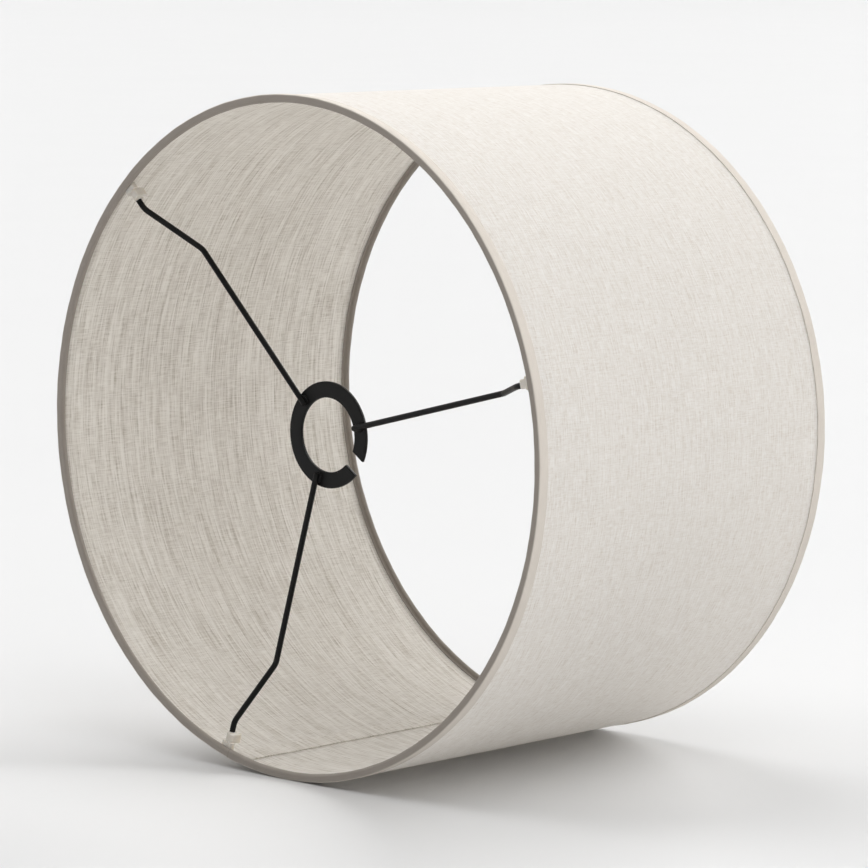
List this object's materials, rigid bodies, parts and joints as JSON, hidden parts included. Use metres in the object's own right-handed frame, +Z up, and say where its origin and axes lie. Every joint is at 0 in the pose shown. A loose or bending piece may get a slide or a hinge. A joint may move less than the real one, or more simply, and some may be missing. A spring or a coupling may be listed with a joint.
{
  "type": "drum lamp shade",
  "caption": "Drum lamp shade: linen-faced film drum bound with tape over rim wires, with a clip-in three-arm spider and a slotted ring that fits round a lampholder.",
  "frame": {"origin": "centre of the fitter ring's hole, halfway through the plate", "axes": "+Y along the shade's axis from the fitter end to the open end, +Z up with the shade lying on its side"},
  "size_m": [0.3999, 0.25, 0.4],
  "materials": {
    "linen": "natural slubby linen weave",
    "film": "white translucent lampshade film",
    "adhesive": "clear adhesive strip",
    "binding": "folded cotton binding tape",
    "rim_wire": "plain drawn wire",
    "black_steel": "satin black powder coat",
    "clip_plastic": "translucent moulded plastic"
  },
  "bodies": {
    "drum": {"outer_linen": "linen", "inner_linen": "linen", "lap_end": "linen", "drum_film": "film", "lap_adhesive": "adhesive", "fitter_end_binding": "binding", "open_end_binding": "binding", "fitter_end_wire": "rim_wire", "open_end_wire": "rim_wire", "clip_1": "clip_plastic", "clip_2": "clip_plastic", "clip_3": "clip_plastic"},
    "spider": {"fitter_ring": "black_steel", "arm_1": "black_steel", "arm_2": "black_steel", "arm_3": "black_steel", "weld_1": "black_steel", "weld_2": "black_steel", "weld_3": "black_steel"}
  },
  "joints": [
    {"name": "spider_lift_out", "type": "slide", "parent": "drum", "child": "spider", "axis": [0, 1, 0], "range_m": [0, 0.25]}
  ]
}
